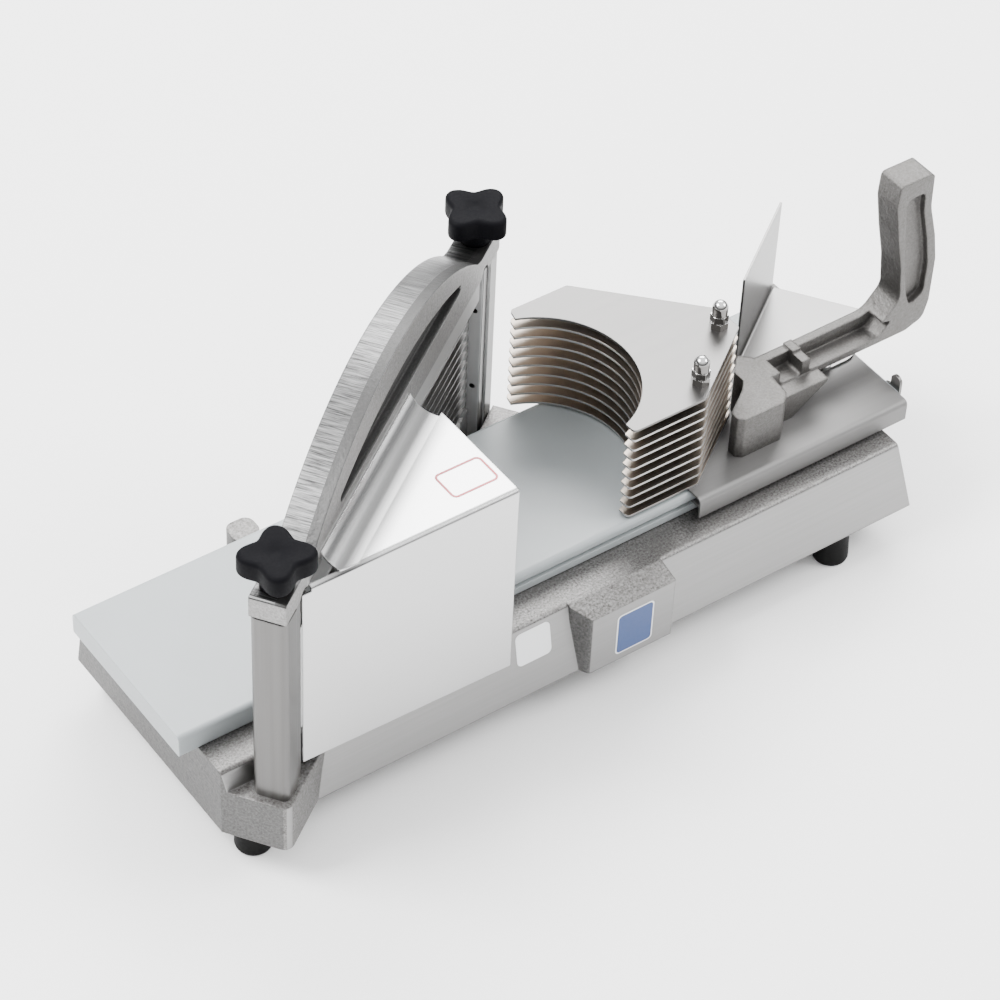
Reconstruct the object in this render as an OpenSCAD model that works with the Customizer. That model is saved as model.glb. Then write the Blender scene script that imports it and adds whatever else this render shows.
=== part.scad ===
// Manual slicer with a fixed diagonal blade cartridge and a sliding pusher.
// Layout axes: X along the slide from the discharge end, Y across it from the
// operator's side, Z up from the slide board's top. Every part is drawn there
// and then moved so that the origin is at floor level under the middle.

/* [Slide board] */
// Length of the polyethylene slide board
board_l = 434; // [420:1:450]
// Width of the slide board
board_w = 96.8; // [94:0.2:100]
// Thickness of the slide board
board_t = 12.7; // [12:0.1:14]

/* [Base casting] */
// Height from the casting's rim to the board's top
base_h = 54; // [50:1:60]
// Width of the ledge beside the board, at the top of the wall
ledge_w = 19; // [18:0.5:21]
// Width of the ledge on the far side of the board
back_ledge_w = 9.6; // [9:0.2:11]
// How much further out the wall stands at its foot
wall_draft = 8; // [6:0.5:10]
// Thickness of the cast walls
wall_t = 5; // [4:0.5:6]
// Height of each rubber foot
foot_h = 21; // [18:1:24]

/* [Blade cartridge] */
// Distance from one slice to the next
slice_pitch = 6.35; // [6.35:0.05:6.5]
// Number of blades and of pusher plates
slice_count = 10; // [10:1:10]
// Angle of the blades from the slide direction
blade_angle = 35.2; // [34:0.5:37]
// Thickness of one blade
blade_t = 0.7; // [0.5:0.1:0.9]
// Width of one blade
blade_w = 12; // [10:0.5:12]

/* [Posts and top frame] */
// Half of the frame's length along the blades
frame_half = 140; // [139.5:0.5:141]
// Thickness of posts and frame across the blades
frame_t = 18; // [17:0.5:18]
// Height of the frame's underside above the board
frame_low = 92; // [90:1:94]
// Height of the frame's end blocks
block_h = 13; // [12:0.5:15]
// Height of the arch's crown above the board
crown_z = 145; // [140:1:150]

/* [Pusher] */
// Radius of the food-holding mouth
mouth_r = 49; // [46:0.5:50]
// Thickness of one pusher plate
plate_t = 1.2; // [1:0.1:1.5]
// Height of the grip's top above the board
grip_top = 117.5; // [110:0.5:120]

/* [Hidden] */
$fn = 48;

cast_colour = [0.72, 0.71, 0.70];
machined_colour = [0.78, 0.78, 0.79];
sheet_colour = [0.83, 0.83, 0.84];
board_colour = [0.88, 0.90, 0.90];
blade_colour = [0.62, 0.62, 0.64];
black_colour = [0.10, 0.10, 0.11];
steel_colour = [0.80, 0.79, 0.77];

gap = 0.3;          // clearance between parts that slide on each other
fit = 0.05;         // radial clearance of a running fit
small = 0.02;       // overrun of a cut through a face

// Base casting, along X and Z
base_x0 = 10.5;
base_x1_top = 416;
base_x1_low = 426;
rim_z = -base_h;
wall_y_top = -ledge_w;
wall_y_low = -ledge_w - wall_draft;
back_y_top = board_w + back_ledge_w;
back_y_low = back_y_top + wall_draft;
foot_r = 9.5;
foot_x = [29, 383];
foot_y = [-17, back_y_top - 2];
foot_bore_r = 2.5;
foot_screw_r = 2.4;
foot_boss_r = 7.5;
boss_x = [209, 266];
boss_y = -32;
lug_x = 101;
lug_y = board_w + 8.2;
lug_top = -5;
board_screw_x = [60, 380];
board_screw_y = [20, board_w - 20];
board_screw_r = 2.4;

// Blade frame: its own axes run along the blades (x) and across them (y)
frame_x = 141.6;
frame_y = 45.6;
frame_n = frame_y * cos(blade_angle) - frame_x * sin(blade_angle);
seat_z = -25;
half_t = frame_t / 2;
post_in = 19.5;      // length of a post along the blades
post_step = 12.8;    // length of the post's full-depth outer band
step_d = 1.2;        // how far the inner band is set back
stud_s = 128.1;      // clamp stud, from the frame's middle
rod_s = 114.2;       // blade rod, from the frame's middle
rod_n = 3;           // blade rod, behind the frame's middle plane
rod_r = 3;
spacer_r = 5.5;
bar_low = 78;        // underside of the cartridge's top bar
blade_block_top = -1;
arch_end = 109.5;    // where the arch runs out on the end blocks
block_top = frame_low + block_h;
arch_r = (arch_end * arch_end + pow(crown_z - block_top, 2)) / (2 * (crown_z - block_top));
pocket_mid = 4;
pocket_half = 90;
pocket_end = 76;
pocket_low = 109;
pocket_top = 128;
pocket_d = 5;
ear_s = 144.3;
ear_n = 11.7;
ear_in = 96;
pad_t = 12;
shelf_s = 139.6;
post_screw_r = 3.9;
post_screw_head_r = 6;

// Clamp knobs
stud_r = 3.95;
knob_low = block_top + 0.15;
stem_h = 9;
knob_head = 11;
knob_tip = 18;
knob_valley = 12.2;

// Pusher, on the board
sheet_t = 1.2;
deck_z = gap + sheet_t;
flange_y = -8;
flange_low = -10.7;
deck_x0 = 298;
deck_x1 = 432.3;
deck_edge_n = -158.6;
lip_z = -6.5;
lip_t = 1.6;
groove_h = 3;
groove_d = 4;
groove_x0 = 108;
mouth_x = 242.8;
mouth_y = 54.7;
plate_front = 2;
plate_back = 107.6;
plate_tip = [259.4, 262];
plate_e = [303.4, 2];
plate_d = [349.6, 34.9];
plate_c = [349.6, 51.7];
plate_b = [296.1, 107.6];
stud_xy = [[308.4, 13.4], [341.5, 41.3]];
pusher_stud_r = 2.4;
nut_t = 4;
nut_r = 5;
acorn_r = 4;
plates_top = deck_z + (slice_count - 1) * slice_pitch + plate_t;

// Handle casting
pad_top = 27;
arm_y = [24, 40];
arm_low = 15.5;
handle_screw_xy = [[344, 14.5], [357, 33]];

// Hand guard, on the blade frame's axes from the layout origin
fin_n = -164.4;
fin_s = [341.3, 408.2];
fin_top = 60;
fin_r = 2.5;
guard_edge_n = -219.9;
guard_screw_xy = [[384, 36], [412, 36]];

// Blade guard
panel_y = -29;
panel_x = [49.5, 168];
panel_low = [-19.5, -23];
flap_z = 94;
flap_r = 16;           // wide bend beside the arch
flap_sweep = 65;
strip_n = frame_n - half_t;
lip_h = 5;
tab_z = [15, 65];

// Where the layout's origin goes
origin_x = 234.5;
origin_y = 45.9;
floor_z = rim_z - foot_h;

// ---------- helpers ----------
function unit(v) = v / norm(v);
function arc(c, r, a0, a1, n) = [for (i = [0:n])
    c + r * [cos(a0 + (a1 - a0) * i / n), sin(a0 + (a1 - a0) * i / n)]];
// A corner p between neighbours a and b, rounded to radius r
function corner(p, a, b, r) = let (
        u = unit(a - p),
        w = unit(b - p),
        half = acos(u * w) / 2,
        c = p + unit(u + w) * r / sin(half),
        p0 = p + u * r / tan(half),
        p1 = p + w * r / tan(half),
        a0 = atan2(p0.y - c.y, p0.x - c.x),
        turn = (atan2(p1.y - c.y, p1.x - c.x) - a0 + 540) % 360 - 180)
    arc(c, r, a0, a0 + turn, 5);
// A polygon whose corners are rounded to the radii given one by one
function softened(pts, radii) = [for (i = [0:len(pts) - 1])
    let (r = is_list(radii) ? radii[i] : radii, n = len(pts))
    each (r > 0 ? corner(pts[i], pts[(i + n - 1) % n], pts[(i + 1) % n], r) : [pts[i]])];
// Layout x of a point at height y on the line n across the blades
function on_line(n, y) = (y * cos(blade_angle) - n) / sin(blade_angle);

module at_home() {
    translate([-origin_x, -origin_y, -floor_z]) children();
}
// The blade frame's axes at its middle, and the same axes from the layout origin
module blade_frame() {
    at_home() translate([frame_x, frame_y, 0]) rotate(blade_angle) children();
}
module along_blades() {
    at_home() rotate(blade_angle) children();
}
// The half turn that carries the front ear onto the back one
module half_turn() {
    translate([frame_x, frame_y, 0]) rotate(180) translate([-frame_x, -frame_y, 0]) children();
}
// A profile drawn in Y and Z, drawn out along X
module along_x(x0, x1) {
    translate([x0, 0, 0]) rotate([90, 0, 90]) linear_extrude(x1 - x0) children();
}
// A profile drawn in X and Z, drawn out along Y
module along_y(y0, y1) {
    translate([0, y1, 0]) rotate([90, 0, 0]) linear_extrude(y1 - y0) children();
}
module slab(x, y, z) {
    translate([x[0], y[0], z[0]]) cube([x[1] - x[0], y[1] - y[0], z[1] - z[0]]);
}
module post_at(x, y, z0, z1, r) {
    translate([x, y, z0]) cylinder(r = r, h = z1 - z0);
}
// A screw from below: head at z, shank of length l upwards
module screw_up(x, y, z, r, l, head_r, head_h) {
    post_at(x, y, z - head_h, z, head_r);
    post_at(x, y, z - small, z + l, r);
}

// ---------- base ----------
module base_section(inset) {
    top = -board_t - (inset > 0 ? inset : 0);
    low = rim_z - (inset > 0 ? small : 0);
    polygon(softened([[wall_y_low + inset, low], [back_y_low - inset, low],
        [back_y_top - inset, top], [wall_y_top + inset, top]], [0, 0, 2.5, 2.5]));
}
module base_ends(inset) {
    low = rim_z - small;
    polygon([[base_x0 + inset, low], [base_x1_low - inset, low],
        [base_x1_top - inset, 1], [base_x0 + inset, 1]]);
}
module base_body(inset) {
    intersection() {
        along_x(0, 440) base_section(inset);
        along_y(-60, board_w + 60) base_ends(inset);
    }
}
// One ear, which carries a post; at the operator's end it runs out to the end wall
module ear(far_n) {
    translate([frame_x, frame_y, rim_z]) rotate(blade_angle) linear_extrude(seat_z - rim_z)
        polygon(softened([[-ear_s, -ear_n], [-ear_in, -ear_n], [-ear_in, 16], [-ear_s, far_n]],
            [5, 0, 0, 0]));
}
module post_seat(low_n) {
    translate([frame_x, frame_y, seat_z]) rotate(blade_angle)
        slab([-ear_s - 5, spacer_r + 1.5 - rod_s], [low_n, half_t + 0.3], [0, 30]);
}
// Ledge widened beside the far post
module far_shelf() {
    intersection() {
        translate([frame_x, frame_y, seat_z - 1]) rotate(blade_angle)
            slab([ear_in + 8, shelf_s], [-40, -half_t - 0.6], [0, 1 - seat_z - board_t]);
        slab([200, 300], [back_y_top - 6, 160], [seat_z - 1, 0]);
    }
}
module label_boss() {
    drop = 4;
    intersection() {
        along_x(boss_x[0], boss_x[1]) polygon([[0, rim_z], [boss_y, rim_z],
            [boss_y, -board_t - drop], [wall_y_top, -board_t], [0, -board_t]]);
        translate([0, 0, rim_z]) linear_extrude(base_h)
            polygon(softened([[boss_x[0], -10], [boss_x[0], wall_y_top - 2],
                [boss_x[0] + 6, boss_y], [boss_x[1], boss_y], [boss_x[1], -10]], [0, 2, 2.5, 1, 0]));
    }
}
module base_casting() {
    color(cast_colour) at_home() difference() {
        union() {
            difference() {
                union() {
                    base_body(0);
                    label_boss();
                }
                base_body(wall_t);
                // the wall's corner, where the front ear's end face carries on
                translate([frame_x, frame_y, 0]) rotate(blade_angle)
                    slab([-ear_s - 30, -ear_s], [-60, 60], [rim_z - 1, -board_t + 1]);
            }
            intersection() {
                union() {
                    ear(26);
                    half_turn() ear(16);
                }
                slab([base_x0, 300], [-80, board_w + 80], [rim_z, 0]);
            }
            far_shelf();
            intersection() {
                base_body(0);
                for (x = foot_x, y = foot_y) post_at(x, y, rim_z, -board_t - 2, foot_boss_r);
            }
            translate([lug_x, lug_y, -board_t - 4]) linear_extrude(lug_top + board_t + 4)
                polygon(softened([[-7.5, -7], [7.5, -7], [7.5, 7], [-7.5, 7]], 5));
        }
        post_seat(-ear_n - 3);
        half_turn() post_seat(-20);
        for (x = foot_x, y = foot_y) post_at(x, y, rim_z - 1, rim_z + 16, foot_bore_r);
        for (x = board_screw_x, y = board_screw_y)
            post_at(x, y, -board_t - wall_t - 1, -board_t + 1, board_screw_r + 0.2);
        translate([frame_x, frame_y, 0]) rotate(blade_angle) for (side = [-1, 1]) {
            post_at(side * stud_s, 0, rim_z, seat_z + 1, post_screw_r + 0.2);
            post_at(side * stud_s, 0, rim_z - 1, seat_z - pad_t, post_screw_head_r);
        }
    }
}
module slide_board() {
    section = [[0, -board_t], [board_w, -board_t], [board_w, 0], [0, 0]];
    color(board_colour) at_home() difference() {
        along_x(0, board_l) polygon(softened(section, [1, 1, 2.4, 2.4]));
        for (y = [[-1, groove_d], [board_w - groove_d, board_w + 1]])
            slab([groove_x0, board_l + 1], y, [lip_z - groove_h / 2, lip_z + groove_h / 2]);
        for (x = board_screw_x, y = board_screw_y)
            post_at(x, y, -board_t - 1, -4, board_screw_r);
    }
}
module board_screws() {
    color(steel_colour) at_home() for (x = board_screw_x, y = board_screw_y)
        screw_up(x, y, -board_t - wall_t, board_screw_r - 0.1, 12, 4.5, 3);
}
module foot(x, y) {
    color(black_colour) at_home() translate([x, y, floor_z]) difference() {
        rotate_extrude() polygon([[0, 0], [foot_r - 1.5, 0], [foot_r - 0.4, 0.6], [foot_r, 2],
            [foot_r - 1, foot_h], [0, foot_h]]);
        translate([0, 0, -1]) cylinder(r = 5.2, h = 8);
        cylinder(r = foot_bore_r + 0.1, h = foot_h + 1);
    }
}
module front_left_foot() { foot(foot_x[0], foot_y[0]); }
module front_right_foot() { foot(foot_x[1], foot_y[0]); }
module back_left_foot() { foot(foot_x[0], foot_y[1]); }
module back_right_foot() { foot(foot_x[1], foot_y[1]); }
module foot_screws() {
    color(steel_colour) at_home() for (x = foot_x, y = foot_y)
        screw_up(x, y, floor_z + 7, foot_screw_r, foot_h + 5, 4.6, 3.2);
}

// ---------- posts, frame and cartridge ----------
// Drawn at the operator's end of the blade frame
module post() {
    outer = -frame_half;
    step = outer + post_step;
    inner = outer + post_in;
    difference() {
        translate([0, 0, seat_z]) linear_extrude(frame_low - seat_z)
            polygon(softened([[outer, -half_t], [step, -half_t], [step, step_d - half_t],
                [inner, step_d - half_t], [inner, half_t], [outer, half_t]],
                [3.5, 0.8, 0, 0.8, 0.8, 3.5]));
        post_at(-stud_s, 0, frame_low - 22, frame_low + 1, stud_r + fit);
        post_at(-stud_s, 0, seat_z - 1, seat_z + 26, post_screw_r + 0.1);
        for (z = tab_z) translate([inner + 1, rod_n - 7, z]) rotate([0, -90, 0])
            cylinder(r = 1.5, h = 11);
    }
}
module front_post() { color(machined_colour) blade_frame() post(); }
module back_post() { color(machined_colour) blade_frame() mirror([1, 0, 0]) post(); }
module post_screws() {
    color(steel_colour) blade_frame() for (side = [-1, 1])
        screw_up(side * stud_s, 0, seat_z - pad_t, post_screw_r, pad_t + 20, 5.4, 5);
}
function arch_z(s) = crown_z - arch_r + sqrt(arch_r * arch_r - s * s);
// Radius of the pocket's upper edge
function pocket_r() = let (h = pocket_top - pocket_low) (pocket_half * pocket_half + h * h) / (2 * h);
module top_frame_outline() {
    end = frame_half;
    polygon(concat(softened([[-end, frame_low], [end, frame_low], [end, block_top],
            [arch_end + 4, block_top]], [1.5, 1.5, 1.5, 0]),
        [for (i = [-24:24]) let (s = -i * (arch_end - 2) / 24) [s, arch_z(s)]],
        softened([[-arch_end - 4, block_top], [-end, block_top], [-end, frame_low + 1]], [0, 1.5, 0])));
}
module pocket_outline() {
    r = pocket_r();
    span = asin(pocket_end / r);
    end_r = (pocket_top - r + r * cos(span) - pocket_low) / 2;
    translate([pocket_mid, 0]) {
        polygon(concat(arc([0, pocket_top - r], r, 90 - span, 90 + span, 24),
            [[-pocket_end, pocket_low], [pocket_end, pocket_low]]));
        for (side = [-1, 1]) translate([side * pocket_end, pocket_low + end_r]) circle(r = end_r);
    }
}
module top_frame() {
    color(cast_colour) blade_frame() difference() {
        along_y(-half_t, half_t) top_frame_outline();
        along_y(-half_t - 1, -half_t + pocket_d) pocket_outline();
        for (side = [-1, 1]) {
            post_at(side * stud_s, 0, frame_low - 1, block_top + 1, stud_r + 0.6);
            along_y(-half_t - 1, -half_t + 3) translate([side * 119, frame_low])
                circle(r = 4.5);
        }
        along_y(-half_t - 1, -half_t + 3) {
            translate([-6, frame_low - 3]) square([18, 6]);
            translate([12, frame_low]) circle(r = 3);
        }
        for (side = [-1, 1]) post_at(side * rod_s, rod_n, frame_low - 1, frame_low + 3, rod_r + 1);
    }
}
module cartridge_top_bar() {
    end = frame_half - post_in - 0.5;
    color(machined_colour) blade_frame() difference() {
        translate([0, 0, bar_low]) linear_extrude(frame_low - bar_low)
            polygon(softened([[-end, 6 - half_t], [5.5 - end, 1 - half_t],
                [end - 5.5, 1 - half_t], [end, 6 - half_t],
                [end, rod_n + spacer_r], [-end, rod_n + spacer_r]], 1));
        for (side = [-1, 1]) post_at(side * rod_s, rod_n, bar_low - 1, frame_low + 1, rod_r);
    }
}
module blade_block() {
    difference() {
        slab([-rod_s - spacer_r, -rod_s + spacer_r], [rod_n - spacer_r, rod_n + spacer_r],
            [seat_z, blade_block_top]);
        post_at(-rod_s, rod_n, blade_block_top - 9, blade_block_top + 1, rod_r);
    }
}
module front_blade_block() { color(machined_colour) blade_frame() blade_block(); }
module back_blade_block() { color(machined_colour) blade_frame() mirror([1, 0, 0]) blade_block(); }
module blade_rod() { post_at(-rod_s, rod_n, blade_block_top - 9, frame_low, rod_r - 0.02); }
module front_blade_rod() { color(steel_colour) blade_frame() blade_rod(); }
module back_blade_rod() { color(steel_colour) blade_frame() mirror([1, 0, 0]) blade_rod(); }
function blade_z(i) = deck_z + plate_t + (slice_pitch - plate_t) / 2 + (i - 1) * slice_pitch;
module spacer(z0, z1) {
    difference() {
        union() {
            post_at(-rod_s, rod_n, z0, z1, spacer_r);
            slab([-rod_s - spacer_r, -rod_s], [rod_n - spacer_r + 1, rod_n + spacer_r - 1], [z0, z1]);
        }
        post_at(-rod_s, rod_n, z0 - 1, z1 + 1, rod_r);
    }
}
module blade_spacers() {
    half = blade_t / 2;
    spacer(blade_block_top, blade_z(1) - half);
    for (i = [1:slice_count - 1]) spacer(blade_z(i) + half, blade_z(i + 1) - half);
    spacer(blade_z(slice_count) + half, bar_low);
}
module front_blade_spacers() { color(machined_colour) blade_frame() blade_spacers(); }
module back_blade_spacers() {
    color(machined_colour) blade_frame() mirror([1, 0, 0]) blade_spacers();
}
module blade(i) {
    edge = rod_n - blade_w / 2;
    color(blade_colour) blade_frame() translate([0, 0, blade_z(i) - blade_t / 2]) difference() {
        linear_extrude(blade_t) union() {
            polygon([[-rod_s, edge], [rod_s, edge], [rod_s, edge + blade_w], [-rod_s, edge + blade_w]]);
            for (side = [-1, 1]) translate([side * rod_s, rod_n]) circle(r = blade_w / 2);
        }
        for (side = [-1, 1]) post_at(side * rod_s, rod_n, -1, 2, rod_r);
    }
}
// Sheet between the blades and the operator, folded from one blank
module blade_guard() {
    t = sheet_t;
    bend_n = strip_n - (flap_r + t) * sin(flap_sweep);
    bend_top = flap_z + flap_r * (1 - cos(flap_sweep));
    far = 2 * flap_r;
    fold_r = 2.5;
    flap_x0 = on_line(bend_n, panel_y);
    flap_end = (bend_n + panel_x[1] * sin(blade_angle)) / cos(blade_angle);
    s0 = flap_x0 * cos(blade_angle) + panel_y * sin(blade_angle) - 6;
    s1 = panel_x[1] * cos(blade_angle) + flap_end * sin(blade_angle) - 3;
    post_s = frame_x * cos(blade_angle) + frame_y * sin(blade_angle) - frame_half + post_in;
    color(sheet_colour) {
        at_home() {
            along_y(panel_y, panel_y + t) polygon([[panel_x[0], panel_low[0]],
                [panel_x[1], panel_low[1]], [panel_x[1], flap_z - fold_r],
                [panel_x[0] + 5, flap_z - fold_r], [panel_x[0] + 5, frame_low - 1],
                [panel_x[0], frame_low - 1]]);
            along_x(panel_x[0] + 5, panel_x[1]) translate([panel_y + fold_r, flap_z - fold_r])
                intersection() {
                    difference() {
                        circle(r = fold_r);
                        circle(r = fold_r - t);
                    }
                    translate([-fold_r, 0]) square(fold_r);
                }
            translate([0, 0, flap_z - t]) linear_extrude(t)
                polygon([[flap_x0, panel_y + fold_r], [panel_x[1], panel_y + fold_r],
                    [panel_x[1], flap_end], [flap_x0 - 4, panel_y + fold_r]]);
        }
        along_blades() {
            intersection() {
                along_x(s0, s1) union() {
                    translate([bend_n, flap_z + flap_r]) intersection() {
                        difference() {
                            circle(r = flap_r + t);
                            circle(r = flap_r);
                        }
                        polygon([[-small, 0], [-small, -far], [far, -far],
                            [far * sin(flap_sweep), -far * cos(flap_sweep)], [0, 0]]);
                    }
                    translate([strip_n - t, bend_top - lip_h]) square([t, lip_h - 0.3]);
                }
                rotate(-blade_angle) slab([panel_x[0] + 5, panel_x[1]], [panel_y + t, 100], [80, 120]);
            }
            // tab screwed to the post's inner face, with the lap that joins it to the panel
            slab([post_s, post_s + 4], [strip_n + 1, strip_n + 1 + t], [tab_z[0] - 8, tab_z[1] + 8]);
            difference() {
                slab([post_s, post_s + t], [strip_n + 1, strip_n + 6.5],
                    [tab_z[0] - 8, tab_z[1] + 8]);
                for (z = tab_z) translate([post_s - 1, rod_n - 7 + frame_n, z]) rotate([0, 90, 0])
                    cylinder(r = 1.7, h = 4);
            }
        }
    }
}
module guard_screws() {
    inner = -frame_half + post_in + sheet_t;
    color(steel_colour) blade_frame() for (z = tab_z) translate([inner, rod_n - 7, z]) {
        rotate([0, 90, 0]) cylinder(r = 2, h = 1.2);
        rotate([0, -90, 0]) cylinder(r = 1.45, h = 8);
    }
}

// ---------- clamp knobs ----------
module clamp_stud(side) {
    color(steel_colour) blade_frame() post_at(side * stud_s, 0, frame_low - 18, knob_low + 15, stud_r);
}
function lobe_r(a) = (knob_tip + knob_valley) / 2 + (knob_tip - knob_valley) / 2 * cos(4 * a);
module clamp_knob(side, turn) {
    color(black_colour) blade_frame() translate([side * stud_s, 0, knob_low]) rotate(turn)
        difference() {
            union() {
                rotate_extrude() polygon([[0, 0], [8, 0], [8.2, 2], [9, 5], [11, stem_h], [0, stem_h]]);
                translate([0, 0, stem_h]) linear_extrude(knob_head)
                    polygon([for (a = [0:5:355]) lobe_r(a) * [cos(a), sin(a)]]);
            }
            translate([0, 0, -1]) cylinder(r = stud_r + fit, h = 16.5);
        }
}
module front_clamp_stud() { clamp_stud(-1); }
module back_clamp_stud() { clamp_stud(1); }
module front_clamp_knob() { clamp_knob(-1, 25); }
module back_clamp_knob() { clamp_knob(1, 70); }

// ---------- pusher ----------
module carriage_plate() {
    back = board_w - flange_y;
    edge_y = (deck_edge_n + deck_x0 * sin(blade_angle)) / cos(blade_angle);
    edge_x = on_line(deck_edge_n, back);
    r = 3;
    t = sheet_t;
    // Front or back flange with its bend; the profile is drawn for the front
    module flange(x0) {
        along_x(x0, deck_x1) {
            translate([flange_y + r, deck_z - r]) intersection() {
                difference() {
                    circle(r = r);
                    circle(r = r - t);
                }
                translate([-r, 0]) square(r);
            }
            translate([flange_y, flange_low]) square([t, deck_z - r - flange_low]);
        }
    }
    color(machined_colour) at_home() difference() {
        union() {
            translate([0, 0, gap]) linear_extrude(t) polygon([[deck_x0, flange_y + r],
                [deck_x1, flange_y + r], [deck_x1, back - r], [edge_x, back - r], [deck_x0, edge_y]]);
            flange(deck_x0);
            translate([0, board_w, 0]) mirror([0, 1, 0]) flange(edge_x);
        }
        for (p = stud_xy) post_at(p.x, p.y, -1, 3, pusher_stud_r);
        for (p = handle_screw_xy) post_at(p.x, p.y, -1, 3, 2.5);
        for (p = guard_screw_xy) post_at(p.x, p.y, -1, 3, 2.1);
    }
}
// Angle strip inside a flange, whose lip runs in the board's groove
module guide_lip(x0) {
    inner = flange_y + sheet_t;
    slab([x0, deck_x1 - 1], [inner, inner + 1.5], [flange_low + 0.5, -2.5]);
    slab([x0, deck_x1 - 1], [inner + 1, groove_d - 1], [lip_z - lip_t / 2, lip_z + lip_t / 2]);
}
module front_guide_lip() { color(machined_colour) at_home() guide_lip(deck_x0 + 2); }
module back_guide_lip() {
    x0 = on_line(deck_edge_n, board_w - flange_y) + 2;
    color(machined_colour) at_home() translate([0, board_w, 0]) mirror([0, 1, 0]) guide_lip(x0);
}
// Angle on the mouth's circle at layout x
function mouth_angle(x) = acos((x - mouth_x) / mouth_r);
module plate_outline() {
    a = mouth_angle(plate_tip[0]);
    tip_y = mouth_r * sin(a);
    polygon(concat(softened([[plate_tip[0], mouth_y - tip_y], [plate_tip[0] + 0.4, plate_front],
        plate_e, plate_d, plate_c, plate_b, [plate_tip[1] - 1, plate_back],
        [plate_tip[0], mouth_y + tip_y]], [0, 2.4, 1, 1, 1, 1, 2.4, 0]),
        arc([mouth_x, mouth_y], mouth_r, a - 1, 1 - a, 40)));
}
module pusher_plate(i) {
    color(sheet_colour) at_home() translate([0, 0, deck_z + (i - 1) * slice_pitch]) difference() {
        linear_extrude(plate_t) plate_outline();
        for (p = stud_xy) post_at(p.x, p.y, -1, 3, pusher_stud_r);
    }
}
module plate_spacers() {
    h = slice_pitch - plate_t;
    apart = stud_xy[1] - stud_xy[0];
    w = 6;
    color(steel_colour) at_home() for (i = [1:slice_count - 1])
        translate([0, 0, deck_z + plate_t + (i - 1) * slice_pitch]) difference() {
            translate(stud_xy[0]) rotate(atan2(apart.y, apart.x)) linear_extrude(h)
                polygon(softened([[-5, -w + 0.6], [norm(apart) + 5, -w], [norm(apart) + 5, w - 1],
                    [-5, w - 1]], 2));
            for (p = stud_xy) post_at(p.x, p.y, -1, h + 1, pusher_stud_r);
        }
}
module pusher_studs() {
    color(steel_colour) at_home() for (p = stud_xy)
        post_at(p.x, p.y, gap, plates_top + nut_t + 5.5, pusher_stud_r - 0.05);
}
module lock_nuts() {
    color(steel_colour) at_home() for (p = stud_xy) translate([p.x, p.y, plates_top])
        difference() {
            cylinder(r = nut_r, h = nut_t, $fn = 6);
            translate([0, 0, -1]) cylinder(r = pusher_stud_r, h = nut_t + 2);
        }
}
module acorn_nuts() {
    hex_h = 4;
    neck_h = 4.2;
    color(steel_colour) at_home() for (p = stud_xy) translate([p.x, p.y, plates_top + nut_t])
        difference() {
            union() {
                rotate(20) cylinder(r = nut_r - 0.3, h = hex_h, $fn = 6);
                translate([0, 0, hex_h]) cylinder(r = acorn_r, h = neck_h);
                translate([0, 0, hex_h + neck_h]) intersection() {
                    sphere(r = acorn_r);
                    cylinder(r = acorn_r, h = acorn_r);
                }
            }
            translate([0, 0, -1]) cylinder(r = pusher_stud_r, h = 7);
        }
}
module handle_profile() {
    polygon(softened([[362, arm_low], [455, arm_low], [466, 19.5], [468.8, 30], [469, 58],
        [466, 75], [460.2, 96], [459.5, grip_top], [437.8, grip_top], [437, 104],
        [441, 82], [445.5, 62], [448, 40], [437, 27.5], [362, pad_top]],
        [0, 8, 6, 8, 20, 30, 30, 2.5, 2.5, 20, 40, 30, 9, 12, 0]));
}
module pusher_handle() {
    pad = [[331.5, 8.5], [334.5, 5.5], [359, 5.5], [364.5, 10.5], [367, 40.5], [360.5, 46.5],
        [351.5, 37], [351.5, 29.5], [347, 24.5], [331.5, 13.8]];
    web_y = arm_y[1] - 5;
    lug = [385.5, 390.5];
    color(cast_colour) at_home() difference() {
        union() {
            translate([0, 0, deck_z]) linear_extrude(pad_top - deck_z)
                polygon(softened(pad, [1.5, 1.5, 2.5, 2.5, 3, 2, 1, 1, 1, 3]));
            along_y(arm_y[0], arm_y[1]) handle_profile();
            slab(lug, [web_y - 3, arm_y[1]], [pad_top - 4, pad_top + 1.5]);
            along_y(15, 31) polygon([[360, deck_z], [374, deck_z], [396, arm_low + 1],
                [396, arm_low + 2.6], [368, arm_low + 2.6], [360, pad_top - 2]]);
        }
        // open side of the arm, on both sides of the lug
        along_y(0, web_y) polygon(softened([[371, 19], [lug[0], 19], [lug[0], 40], [371, 40]], [3, 2, 0, 0]));
        along_y(0, web_y) polygon(softened([[lug[1], 19.2], [436, 19.2], [444, 27.4], [lug[1], 40]],
            [2, 6, 1, 0]));
        along_y(arm_y[0] - 1, arm_y[0] + 4) polygon(softened([[442.5, 107], [455, 107],
            [456, 94], [461, 74], [464, 57], [464, 38], [455, 32], [451.5, 42], [447.5, 64]],
            [5, 3, 20, 20, 15, 5, 3, 3, 20]));
        for (p = handle_screw_xy) post_at(p.x, p.y, 0, deck_z + 14, 2.4);
    }
}
module handle_screws() {
    color(steel_colour) at_home() for (p = handle_screw_xy) post_at(p.x, p.y, gap, deck_z + 12, 2.3);
}
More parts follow.
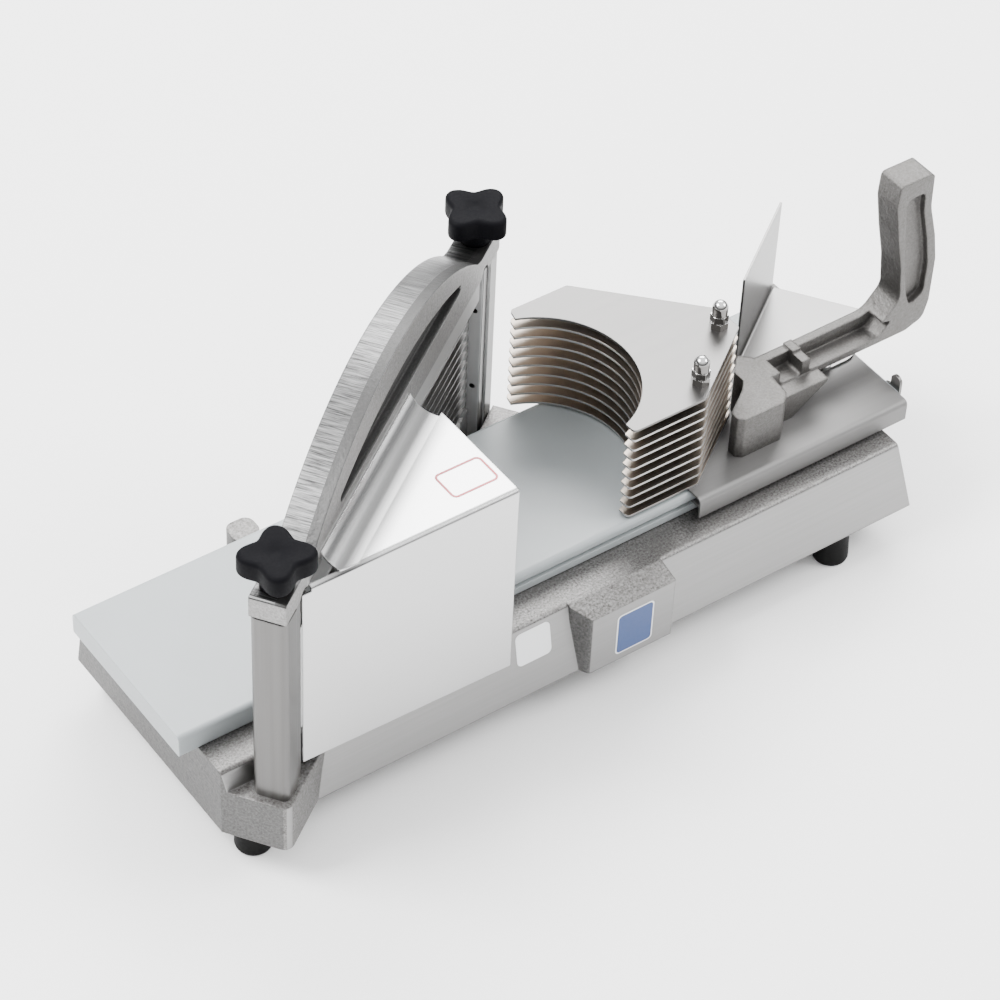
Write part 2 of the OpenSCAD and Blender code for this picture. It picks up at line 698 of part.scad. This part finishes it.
// Upright fin ahead of the knuckles, with its foot on the carriage
module hand_guard() {
    t = 1.2;
    floor_s = fin_s[1];
    foot_x0 = on_line(guard_edge_n, arm_y[1] - 6);
    corner_far = [floor_s * cos(blade_angle) - guard_edge_n * sin(blade_angle),
        floor_s * sin(blade_angle) + guard_edge_n * cos(blade_angle)];
    near_n = fin_n - fin_r;
    lap_n = near_n - 1.5;
    corner_near = [floor_s * cos(blade_angle) - lap_n * sin(blade_angle),
        floor_s * sin(blade_angle) + lap_n * cos(blade_angle)];
    corner_front = [fin_s[0] * cos(blade_angle) - lap_n * sin(blade_angle),
        fin_s[0] * sin(blade_angle) + lap_n * cos(blade_angle)];
    color(sheet_colour) {
        at_home() difference() {
            translate([0, 0, deck_z]) linear_extrude(t)
                polygon([corner_front, corner_near, corner_far, [foot_x0, arm_y[1] - 6],
                    [foot_x0 - 4, 33], [370, 33], [370, corner_front.y - 3]]);
            for (p = guard_screw_xy) post_at(p.x, p.y, 0, 4, 2.1);
        }
        along_blades() along_x(fin_s[0], fin_s[1]) translate([near_n, deck_z])
            polygon(concat([[-3, 0]], arc([0, fin_r], fin_r, -90, 0, 6),
                [[fin_r, fin_top - deck_z], [fin_r - t, fin_top - deck_z]],
                arc([0, fin_r], fin_r - t, 0, -90, 6), [[-3, t]]));
    }
}
module hand_guard_screws() {
    color(steel_colour) at_home() for (p = guard_screw_xy) {
        post_at(p.x, p.y, gap, deck_z + sheet_t + 0.1, 2);
        post_at(p.x, p.y, deck_z + sheet_t, deck_z + sheet_t + 2.2, 3.8);
    }
}
// Tab on the board's end that the carriage stops against
module end_stop() {
    t = 1.6;
    color(sheet_colour) at_home() difference() {
        translate([board_l, 0, 0]) rotate([90, 0, 90]) linear_extrude(t)
            polygon(softened([[1, -11], [13, -11], [13, -1], [8, 1], [8, 8.5], [1, 8.5]],
                [2, 2, 2, 1, 3.4, 3.4]));
        translate([board_l - 1, 7, -6]) rotate([0, 90, 0]) cylinder(r = 2.1, h = 4);
    }
}
module end_stop_screw() {
    t = 1.6;
    color(steel_colour) at_home() translate([board_l, 7, -6]) {
        translate([t, 0, 0]) rotate([0, 90, 0]) cylinder(r = 3.6, h = 2);
        rotate([0, 90, 0]) cylinder(r = 2, h = t + small);
    }
}

base_casting();
slide_board();
board_screws();
front_left_foot();
front_right_foot();
back_left_foot();
back_right_foot();
foot_screws();
front_post();
back_post();
post_screws();
top_frame();
cartridge_top_bar();
front_blade_block();
back_blade_block();
front_blade_rod();
back_blade_rod();
front_blade_spacers();
back_blade_spacers();
for (i = [1:slice_count]) blade(i);
blade_guard();
guard_screws();
front_clamp_stud();
back_clamp_stud();
front_clamp_knob();
back_clamp_knob();
carriage_plate();
front_guide_lip();
back_guide_lip();
for (i = [1:slice_count]) pusher_plate(i);
plate_spacers();
pusher_studs();
lock_nuts();
acorn_nuts();
pusher_handle();
handle_screws();
hand_guard();
hand_guard_screws();
end_stop();
end_stop_screw();
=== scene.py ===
import math

import bpy
from mathutils import Matrix, Vector


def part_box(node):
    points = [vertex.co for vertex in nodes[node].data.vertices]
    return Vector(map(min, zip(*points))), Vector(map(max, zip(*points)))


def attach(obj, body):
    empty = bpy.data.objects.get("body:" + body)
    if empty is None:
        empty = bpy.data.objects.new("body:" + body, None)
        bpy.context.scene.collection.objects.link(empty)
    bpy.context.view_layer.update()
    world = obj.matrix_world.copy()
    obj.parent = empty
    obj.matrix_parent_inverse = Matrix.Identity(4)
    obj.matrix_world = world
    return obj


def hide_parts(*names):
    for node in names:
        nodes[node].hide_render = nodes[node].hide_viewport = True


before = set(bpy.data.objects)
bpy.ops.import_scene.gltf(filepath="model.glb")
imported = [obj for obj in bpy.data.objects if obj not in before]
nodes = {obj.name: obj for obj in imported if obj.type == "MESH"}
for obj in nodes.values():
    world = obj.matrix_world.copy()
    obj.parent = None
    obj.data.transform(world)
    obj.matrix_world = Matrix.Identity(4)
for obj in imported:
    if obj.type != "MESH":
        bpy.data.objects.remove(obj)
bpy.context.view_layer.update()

MM = 0.001
ORIGIN = Vector((234.5, 45.9, -75.0))      # layout millimetres to the row's frame
BLADE_TURN = math.radians(35.2)
ALONG_BLADES = (math.cos(BLADE_TURN), math.sin(BLADE_TURN))
ACROSS_BLADES = (-math.sin(BLADE_TURN), math.cos(BLADE_TURN))
FRAME_ACROSS = 0.0533                      # the blade frame's middle plane, across the blades
# places across the blades, measured back from that plane, in metres
BAND_FRONT = -0.0035                       # front edge of the ground band on the arch
POCKET_FLOOR = -0.0075                     # between the arch's front face and its pocket's floor
BEND_MIDDLE = -0.0205                      # middle of the guard's wide bend
POST_LINES = (260, 260, 3)                 # stretch of the fine lines up the posts


def at(x, y, z):
    """A place given in layout millimetres, in the row's frame."""
    return (Vector((x, y, z)) - ORIGIN) * MM


# ---------------------------------------------------------------- materials
class Graph:
    """A material with its node tree and a few short ways to add to it."""

    def __init__(self, name):
        self.material = bpy.data.materials.new(name)
        self.material.use_nodes = True
        self.tree = self.material.node_tree
        self.bsdf = self.tree.nodes["Principled BSDF"]
        self.coords = self.add("ShaderNodeTexCoord")

    def add(self, kind, **settings):
        node = self.tree.nodes.new(kind)
        for key, value in settings.items():
            setattr(node, key, value)
        return node

    def link(self, a, b):
        self.tree.links.new(a, b)

    def mapped(self, scale=(1, 1, 1), turn=0.0):
        """Object coordinates turned about Z, then scaled."""
        turned = self.add("ShaderNodeMapping", vector_type="POINT")
        turned.inputs["Rotation"].default_value = (0, 0, turn)
        self.link(self.coords.outputs["Object"], turned.inputs["Vector"])
        scaled = self.add("ShaderNodeMapping", vector_type="POINT")
        scaled.inputs["Scale"].default_value = scale
        self.link(turned.outputs[0], scaled.inputs["Vector"])
        return scaled.outputs[0]

    def noise(self, vector, scale, detail=3.0, rough=0.55):
        node = self.add("ShaderNodeTexNoise")
        self.link(vector, node.inputs["Vector"])
        node.inputs["Scale"].default_value = scale
        node.inputs["Detail"].default_value = detail
        node.inputs["Roughness"].default_value = rough
        return node.outputs[0]

    def span(self, value, low, high, start=0.3, stop=0.7):
        """Low to high while value goes from start to stop."""
        node = self.add("ShaderNodeMapRange")
        self.link(value, node.inputs["Value"])
        node.inputs["From Min"].default_value = start
        node.inputs["From Max"].default_value = stop
        node.inputs["To Min"].default_value = low
        node.inputs["To Max"].default_value = high
        return node.outputs[0]

    def math(self, how, a, b=None):
        node = self.add("ShaderNodeMath", operation=how)
        for socket, value in zip(node.inputs, (a, b)):
            if value is None:
                continue
            if isinstance(value, (int, float)):
                socket.default_value = value
            else:
                self.link(value, socket)
        return node.outputs[0]

    def mix(self, factor, a, b):
        node = self.add("ShaderNodeMix", data_type="RGBA")
        for socket, value in ((node.inputs[0], factor), (node.inputs[6], a), (node.inputs[7], b)):
            if isinstance(value, (int, float)):
                socket.default_value = value
            elif isinstance(value, tuple):
                socket.default_value = value if len(value) == 4 else (*value, 1)
            else:
                self.link(value, socket)
        return node.outputs[2]

    def relief(self, height, distance, strength, edge):
        """The height as bumps over edges rounded to the edge radius, into the shader's normal."""
        rounded = self.add("ShaderNodeBevel", samples=4)
        rounded.inputs["Radius"].default_value = edge
        node = self.add("ShaderNodeBump")
        self.link(height, node.inputs["Height"])
        node.inputs["Distance"].default_value = distance
        node.inputs["Strength"].default_value = strength
        self.link(rounded.outputs[0], node.inputs["Normal"])
        self.link(node.outputs[0], self.bsdf.inputs["Normal"])

    def normal(self, axis):
        node = self.add("ShaderNodeSeparateXYZ")
        self.link(self.coords.outputs["Normal"], node.inputs[0])
        return node.outputs[axis]

    def facing(self, heading):
        """How far a face looks toward a level heading (x, y): 1 straight at it, 0 side on."""
        return self.math("ADD", self.math("MULTIPLY", self.normal("X"), heading[0]),
                         self.math("MULTIPLY", self.normal("Y"), heading[1]))

    def across(self):
        """Distance across the blades, behind the blade frame's middle plane."""
        node = self.add("ShaderNodeSeparateXYZ")
        self.link(self.mapped(turn=-BLADE_TURN), node.inputs[0])
        return self.math("SUBTRACT", node.outputs["Y"], FRAME_ACROSS)


def grey(v, warm=0.0):
    return (v + warm, v, v - warm, 1)


def two_tone(g, pattern, tone, contrast, warm=(0.0, 0.0), half=0.15):
    """Grey that swings about the tone by the contrast, as the pattern goes past its middle."""
    return g.mix(g.span(pattern, 0, 1, 0.5 - half, 0.5 + half),
                 grey(tone * (1 - contrast), warm[0]), grey(tone * (1 + contrast), warm[1]))


def cast_grain(g, tone, contrast=0.22):
    """Sand-cast skin: (colour, height) with millimetre speckle and broad patches."""
    plain = g.mapped()
    speckle = g.noise(plain, 850, 3, 0.65)
    broad = g.noise(plain, 38, 4, 0.6)
    pits = g.noise(plain, 360, 2, 0.5)
    colour = two_tone(g, speckle, tone, contrast, (0.004, 0.003), 0.18)
    colour = g.mix(g.span(broad, 0, 0.5), colour, grey(tone * 0.88, 0.005))
    return colour, g.math("ADD", speckle, g.math("MULTIPLY", pits, 1.4))


def ground_finish(g, tone, stretch, turn=0.0, contrast=0.15):
    """Ground or linished surface: (colour, height) with fine lines."""
    lines = g.noise(g.mapped(stretch, turn), 1.0, 4, 0.7)
    return two_tone(g, lines, tone, contrast), lines


def finish_metal(g, colour, height, rough, depth, edge, spread=0.06):
    """Rough is a number, varied by the height over the spread, or a pattern of its own."""
    g.link(colour, g.bsdf.inputs["Base Color"])
    g.bsdf.inputs["Metallic"].default_value = 1.0
    if isinstance(rough, float):
        rough = g.span(height, rough - spread / 2, rough + spread)
    g.link(rough, g.bsdf.inputs["Roughness"])
    g.relief(height, depth, 0.8, edge)
    return g.material


def cast_metal(name, tone, rough, depth, edge):
    g = Graph(name)
    colour, height = cast_grain(g, tone)
    return finish_metal(g, colour, height, rough, depth, edge, 0.10)


def base_metal(name, tone):
    """The casting's long walls are linished smooth, its faces toward the discharge end get painted
    shade, the rest is cast.
    """
    g = Graph(name)
    skin, skin_height = cast_grain(g, tone * 0.70, 0.62)
    # painted shade: faces looking toward the discharge end are darkened
    end_shade_mask = g.math("LESS_THAN", g.normal("X"), -0.5)
    skin = g.mix(g.math("MULTIPLY", end_shade_mask, 0.62), skin, grey(tone * 0.3))
    walls, wall_height = ground_finish(g, tone, (12, 500, 600))
    smooth = g.math("GREATER_THAN", g.math("ABSOLUTE", g.normal("Y")), 0.9)
    height = g.mix(smooth, skin_height, g.math("MULTIPLY", wall_height, 0.08))
    colour = g.mix(smooth, skin, g.mix(0.75, walls, grey(tone, 0.003)))
    return finish_metal(g, colour, height, 0.42, 0.00018, 0.0012)


def arch_metal(name, tone):
    """Cast arch: ground on top in lines across it, cast at its front edge where its upward faces get
    painted shade, and painted shade in the pocket.
    """
    g = Graph(name)
    across = g.across()
    skin, skin_height = cast_grain(g, tone, 0.30)
    ground, ground_height = ground_finish(g, tone * 0.56, (1500, 60, 1500), -BLADE_TURN, 0.75)
    facing_up = g.math("GREATER_THAN", g.normal("Z"), 0.25)
    top = g.math("MULTIPLY", facing_up, g.math("GREATER_THAN", across, BAND_FRONT))
    # the recessed pocket floor, which gets painted shade
    facing_front = g.math("LESS_THAN", g.facing(ACROSS_BLADES), -0.5)
    pocket_shade = g.math("MULTIPLY", facing_front, g.math("GREATER_THAN", across, POCKET_FLOOR))
    # painted shade: upward cast faces, the band at the front edge, are darkened; the ground top covers
    # the rest
    colour = g.mix(facing_up, skin, g.mix(0.85, skin, grey(tone * 0.20)))
    colour = g.mix(top, colour, ground)
    colour = g.mix(pocket_shade, colour, g.mix(0.75, skin, grey(tone * 0.15)))
    height = g.mix(top, skin_height, g.math("MULTIPLY", ground_height, 0.7))
    return finish_metal(g, colour, height, 0.40, 0.00016, 0.0012, 0.08)


def machined(name, tone, rough, stretch, turn=0.0, depth=0.00002, edge=0.0006, spread=0.05,
             contrast=0.05):
    """Satin metal with fine lines, which run along the axis that stretch scales least."""
    g = Graph(name)
    lines = g.noise(g.mapped(stretch, turn), 1.0, 5, 0.6)
    broad = g.noise(g.mapped(), 30, 3)
    colour = two_tone(g, lines, tone, contrast, (0.003, 0.002))
    colour = g.mix(g.span(broad, 0, 0.3), colour, grey(tone * 0.92, 0.003))
    return finish_metal(g, colour, lines, rough, depth, edge, spread)


def back_post_metal(name, tone):
    """Machined post whose face toward the blades is rougher and painted paler, as painted light."""
    g = Graph(name)
    lines = g.noise(g.mapped(POST_LINES, -BLADE_TURN), 1.0, 5, 0.6)
    inner = g.math("LESS_THAN", g.facing(ALONG_BLADES), -0.5)
    colour = two_tone(g, lines, tone, 0.10, (0.003, 0.002))
    # painted light: the face toward the blades is painted much paler than the rest
    colour = g.mix(inner, colour, grey(tone * 4.5))
    rough = g.mix(inner, g.span(lines, 0.27, 0.36), g.span(lines, 0.60, 0.70))
    return finish_metal(g, colour, lines, rough, 0.00002, 0.0007)


def guard_metal(name, tone):
    """Folded sheet: bright, with a soft painted shade across the wide bend beside the arch."""
    g = Graph(name)
    lines = g.noise(g.mapped((12, 12, 1400)), 1.0, 4, 0.6)
    facing_up = g.math("GREATER_THAN", g.normal("Z"), 0.3)
    offset = g.math("ABSOLUTE", g.math("SUBTRACT", g.across(), BEND_MIDDLE))
    # painted shade: a soft dark band on upward faces, darkest at the middle of the wide bend
    bend_shade = g.math("MULTIPLY", facing_up, g.span(offset, 0.92, 0, 0.001, 0.012))
    colour = two_tone(g, lines, tone, 0.02)
    colour = g.mix(bend_shade, colour, grey(tone * 0.22))
    return finish_metal(g, colour, lines, 0.24, 0.000004, 0.0007, 0.03)


def bright_nut(name, tone):
    """Polished domes over darker flats: the domes painted bright as painted highlight, the flats
    painted dark as painted shade.
    """
    g = Graph(name)
    lines = g.noise(g.mapped(), 300, 3)
    # painted highlight on upward faces, painted shade on the flats below them
    upward = g.span(g.normal("Z"), 0, 1, 0.15, 0.8)
    colour = g.mix(upward, grey(tone * 0.28, 0.006), grey(tone))
    return finish_metal(g, colour, lines, 0.10, 0.000003, 0.0004, 0.04)


def inner_plate(name, tone):
    """A plate inside the stack: bright cut edge, with its faces painted dark brown as painted shade
    between the plates.
    """
    g = Graph(name)
    lines = g.noise(g.mapped((14, 900, 900)), 1.0, 5, 0.6)
    flat = g.math("GREATER_THAN", g.math("ABSOLUTE", g.normal("Z")), 0.7)
    cut_edge = g.mix(g.span(lines, 0, 0.2), grey(tone), grey(tone * 0.8))
    # painted shade: the flat faces between the plates are painted dark brown
    colour = g.mix(flat, cut_edge, (0.30, 0.262, 0.225))
    return finish_metal(g, colour, lines, 0.34, 0.00001, 0.0003, 0.05)


def plastic(name, colour, rough, grain, scale, edge, through=0.0, shine=0.5):
    """Moulded plastic or rubber: fine grain of that depth and scale, and faint broad patches."""
    g = Graph(name)
    fine = g.noise(g.mapped(), scale, 3, 0.6)
    broad = g.noise(g.mapped(), 25, 3)
    dark = tuple(c * 0.95 for c in colour)
    g.link(g.mix(g.span(broad, 0, 1), dark, colour), g.bsdf.inputs["Base Color"])
    g.link(g.span(fine, rough - 0.05, rough + 0.07), g.bsdf.inputs["Roughness"])
    g.bsdf.inputs["Specular IOR Level"].default_value = shine
    if through:
        g.bsdf.inputs["Subsurface Weight"].default_value = through
        g.bsdf.inputs["Subsurface Radius"].default_value = (0.006, 0.006, 0.006)
        g.bsdf.inputs["Subsurface Scale"].default_value = 0.6
    g.relief(fine, grain, 0.5, edge)
    return g.material


BASE = base_metal("base_casting_metal", 0.245)
ARCH = arch_metal("arch_casting_metal", 0.24)
GRIP = cast_metal("handle_casting_metal", 0.12, 0.42, 0.00024, 0.0016)
POST_TONE = 0.125
POST = machined("satin_posts", POST_TONE, 0.30, POST_LINES, -BLADE_TURN, 0.00002, 0.0007, 0.06, 0.10)
BACK_POST = back_post_metal("satin_back_post", POST_TONE)
SHEET = guard_metal("stainless_sheet", 0.53)
FIN = machined("fin_sheet", 0.19, 0.30, (14, 14, 900), 0, 0.000004, 0.0004, 0.03, 0.02)
PLATE = machined("plate_steel", 0.14, 0.34, (14, 900, 900), 0, 0.000004, 0.0004, 0.03, 0.02)
INNER = inner_plate("inner_plate_steel", 0.40)
DECK = machined("carriage_aluminium", 0.20, 0.60, (10, 700, 700), 0, 0.00001, 0.0006, 0.05, 0.05)
BAR = machined("machined_bars", 0.40, 0.50, (20, 600, 600), -BLADE_TURN)
BLADE = machined("blade_steel", 0.26, 0.30, (20, 500, 900), -BLADE_TURN, 0.000008, 0.0001)
STEEL = machined("screw_steel", 0.34, 0.30, (500, 500, 500), 0, 0.000008, 0.0003)
CHROME = bright_nut("bright_nuts", 0.55)
BOARD = plastic("polyethylene", (0.31, 0.335, 0.345), 0.34, 0.00002, 700, 0.0008, 0.25)
KNOB = plastic("black_knob", (0.003, 0.003, 0.004), 0.60, 0.00004, 900, 0.0006, 0, 0.045)
RUBBER = plastic("foot_rubber", (0.003, 0.003, 0.003), 0.55, 0.00005, 700, 0.0008, 0, 0.10)
PAPER = plastic("label_white", (0.78, 0.79, 0.80), 0.35, 0.00001, 500, 0.0002)
INK = plastic("label_blue", (0.012, 0.045, 0.17), 0.35, 0.00001, 500, 0.0002)
PINK = plastic("label_pink", (0.50, 0.10, 0.12), 0.40, 0.00001, 500, 0.0002)

LOOKS = {
    "base_casting": BASE, "top_frame": ARCH, "pusher_handle": GRIP,
    "slide_board": BOARD, "carriage_plate": DECK,
    "front_guide_lip": DECK, "back_guide_lip": DECK,
    "front_post": POST, "back_post": BACK_POST,
    "cartridge_top_bar": BAR, "front_blade_block": BAR, "back_blade_block": BAR,
    "front_blade_spacers": BAR, "back_blade_spacers": BAR, "plate_spacers": BAR,
    "blade_guard": SHEET, "hand_guard": FIN, "end_stop": PLATE,
    "acorn_nuts": CHROME, "lock_nuts": CHROME, "pusher_plate_10": PLATE,
}
for node_name, thing in nodes.items():
    if node_name in LOOKS:
        look = LOOKS[node_name]
    elif node_name.endswith("_foot"):
        look = RUBBER
    elif node_name.endswith("_knob"):
        look = KNOB
    elif node_name.startswith("pusher_plate"):
        look = INNER
    elif node_name.startswith("blade_") and node_name[6:].isdigit():
        look = BLADE
    else:
        look = STEEL
    for mesh_slot in thing.material_slots:
        mesh_slot.material = look


# ---------------------------------------------------------------- added pieces
def new_mesh(name, points, faces, material, smooth=False):
    mesh = bpy.data.meshes.new(name)
    mesh.from_pydata(points, [], faces)
    mesh.materials.append(material)
    mesh.polygons.foreach_set("use_smooth", [smooth] * len(mesh.polygons))
    mesh.update()
    thing = bpy.data.objects.new(name, mesh)
    bpy.context.collection.objects.link(thing)
    return thing


def rounded_knob(side, turn, body, node_name):
    """Four-lobed knob with rounded rims and a dimple, in place of the plain CAD one."""
    low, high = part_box(node_name)
    middle = Vector(((low[0] + high[0]) / 2, (low[1] + high[1]) / 2, low[2]))
    tip, valley = 18.0, 12.2               # radii at a lobe and between two lobes
    stem, under_rim, rim = 9.0, 1.2, 2.4   # height of the round stem, radii of the head's rims
    top = (high[2] - low[2]) / MM
    count = 96
    # rings (height, radius) of the stem and the dimple, and (height, inset) of the lobed head
    shank = [(0, 8), (2, 8.2), (5, 9), (stem - 0.5, 10.6), (stem, 11)]
    head = [(stem + under_rim * (1 - math.cos(a)), under_rim * (1 - math.sin(a)))
            for a in (0.0, 0.5, 1.0, math.pi / 2)]
    head += [(top - rim + rim * math.sin(a), rim * (1 - math.cos(a)))
             for a in (i * math.pi / 12 for i in range(7))]
    head += [(top - 0.05, 4.5), (top - 0.35, 8.5)]
    dimple = [(top - 0.8, 3.4), (top - 1.3, 2.4)]
    rings = [(z, r, False) for z, r in shank]
    rings += [(z, inset, True) for z, inset in head]
    rings += [(z, r, False) for z, r in dimple]
    points = []
    for z, amount, lobed in rings:
        for i in range(count):
            a = 2 * math.pi * i / count
            r = amount
            if lobed:
                r = (tip + valley) / 2 + (tip - valley) / 2 * math.cos(4 * a)
                # insets past the rim shrink with the outline, so the lobes fade toward the dimple
                r -= amount * (r / tip if amount > rim else 1)
            angle = a + turn + BLADE_TURN
            points.append(middle + Vector((r * math.cos(angle), r * math.sin(angle), z)) * MM)
    faces = [(k * count + i, k * count + (i + 1) % count,
              (k + 1) * count + (i + 1) % count, (k + 1) * count + i)
             for k in range(len(rings) - 1) for i in range(count)]
    faces += [tuple(reversed(range(count))),
              tuple(range((len(rings) - 1) * count, len(rings) * count))]
    knob = new_mesh(side + "_knob_moulding", points, faces, KNOB, True)
    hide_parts(node_name)
    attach(knob, body)


rounded_knob("front", math.radians(25), "front_knob", "front_clamp_knob")
rounded_knob("back", math.radians(70), "back_knob", "back_clamp_knob")


LABEL_LIFT = 0.12                          # a label's face stands this far off its wall


def label(name, corner, up, size, radius, material, ring=0.0):
    """Blank label with rounded corners, on a face that runs along X and up; with ring, its outline."""
    across, up = Vector((1, 0, 0)), Vector(up).normalized()
    lift = across.cross(up) * LABEL_LIFT * MM

    def outline(inset):
        points = []
        r = max(radius - inset, 0.2)
        wide, tall = size
        for cx, cy, start in ((wide, tall, 0), (0, tall, 90), (0, 0, 180), (wide, 0, 270)):
            cx = min(max(cx, inset + r), wide - inset - r)
            cy = min(max(cy, inset + r), tall - inset - r)
            for step in range(7):
                a = math.radians(start + 15 * step)
                u, v = cx + r * math.cos(a), cy + r * math.sin(a)
                points.append(at(*corner) + (across * u + up * v) * MM)
        return points

    outer = outline(0)
    n = len(outer)
    if ring:
        points = [p + lift for p in outer] + [p + lift for p in outline(ring)]
        faces = [(i, (i + 1) % n, n + (i + 1) % n, n + i) for i in range(n)]
    else:
        points = [p + lift for p in outer] + outer
        faces = [tuple(range(n))] + [(i, n + i, n + (i + 1) % n, (i + 1) % n) for i in range(n)]
    sticker = new_mesh(name, points, faces, material)
    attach(sticker, "base")


UP_THE_WALL = (0, 8, 41.3)                 # the casting's front wall leans back by this much
UP_THE_BOSS = (0, 0, 1)
BACK_OVER_THE_FLAP = (0, 1, 0)
label("wall_label", (177, -23.36, -35.2), UP_THE_WALL, (20.5, 19.2), 3, PAPER)
label("boss_label_edge", (230.5, -32, -49.5), UP_THE_BOSS, (22.5, 27), 2.5, PAPER)
label("boss_label", (231.3, -32.13, -48.7), UP_THE_BOSS, (20.9, 25.4), 2, INK)
label("flap_outline", (139.5, -17.5, 94), BACK_OVER_THE_FLAP, (26, 18), 3, PINK, 1.2)

# ---------------------------------------------------------------- studio
bpy.ops.mesh.primitive_plane_add(size=12, location=(0, 0, 0))
floor = bpy.context.object
floor.name = "studio_floor"
floor_look = Graph("pale_floor")
floor_look.bsdf.inputs["Base Color"].default_value = (0.93, 0.93, 0.93, 1)
floor_look.bsdf.inputs["Roughness"].default_value = 0.9
floor.data.materials.append(floor_look.material)

# a sky that is dark at the horizon and white overhead
world = bpy.data.worlds.new("studio")
bpy.context.scene.world = world
world.use_nodes = True
sky = world.node_tree
backdrop = sky.nodes["Background"]
direction = sky.nodes.new("ShaderNodeTexCoord")
height = sky.nodes.new("ShaderNodeSeparateXYZ")
sky.links.new(direction.outputs["Generated"], height.inputs[0])
ramp = sky.nodes.new("ShaderNodeValToRGB")
sky.links.new(height.outputs["Z"], ramp.inputs[0])
ramp.color_ramp.elements[0].position = 0.02
ramp.color_ramp.elements[0].color = (0.10, 0.10, 0.105, 1)
ramp.color_ramp.elements[1].position = 0.95
ramp.color_ramp.elements[1].color = (1, 1, 1, 1)
for position, brightness in ((0.22, 0.16), (0.45, 0.50), (0.68, 1.0)):
    stop = ramp.color_ramp.elements.new(position)
    stop.color = grey(brightness)
sky.links.new(ramp.outputs[0], backdrop.inputs["Color"])
backdrop.inputs["Strength"].default_value = 2.4


def softbox(name, place, aim, size, power):
    data = bpy.data.lights.new(name, "AREA")
    data.shape = "RECTANGLE"
    data.size, data.size_y = size
    data.energy = power
    lamp = bpy.data.objects.new(name, data)
    bpy.context.collection.objects.link(lamp)
    lamp.location = place
    lamp.rotation_mode = "QUATERNION"
    lamp.rotation_quaternion = (Vector(aim) - Vector(place)).to_track_quat("-Z", "Y")


softbox("key_light", (-1.3, 0.7, 2.0), (0, 0, 0.05), (1.2, 0.9), 110)
softbox("fill_light", (1.5, -0.9, 1.5), (0, 0, 0.05), (1.0, 0.8), 40)
softbox("back_light", (1.0, 1.3, 1.55), (0, 0, 0.1), (1.5, 1.0), 70)

# the camera stands where the photo was taken from
CAMERA_TURN = (52.7645, 43.9565, 2.8323)   # degrees to the left of X, down, and rolled
CAMERA_PLACE = (-535.5, -940.013, 1196.965)
yaw, pitch, roll = (math.radians(a) for a in CAMERA_TURN)
forward = Vector((math.cos(yaw) * math.cos(pitch), math.sin(yaw) * math.cos(pitch),
                  -math.sin(pitch)))
level = Vector((math.sin(yaw), -math.cos(yaw), 0))
upward = level.cross(forward)
right = level * math.cos(roll) + upward * math.sin(roll)
top = upward * math.cos(roll) - level * math.sin(roll)
lens = bpy.data.cameras.new("photo_camera")
lens.sensor_width = 36
lens.lens = 125.275
camera = bpy.data.objects.new("photo_camera", lens)
bpy.context.collection.objects.link(camera)
spot = at(*CAMERA_PLACE)
camera.matrix_world = Matrix((
    (right.x, top.x, -forward.x, spot.x),
    (right.y, top.y, -forward.y, spot.y),
    (right.z, top.z, -forward.z, spot.z),
    (0, 0, 0, 1)))
lens.clip_start, lens.clip_end = 0.05, 50
bpy.context.scene.camera = camera
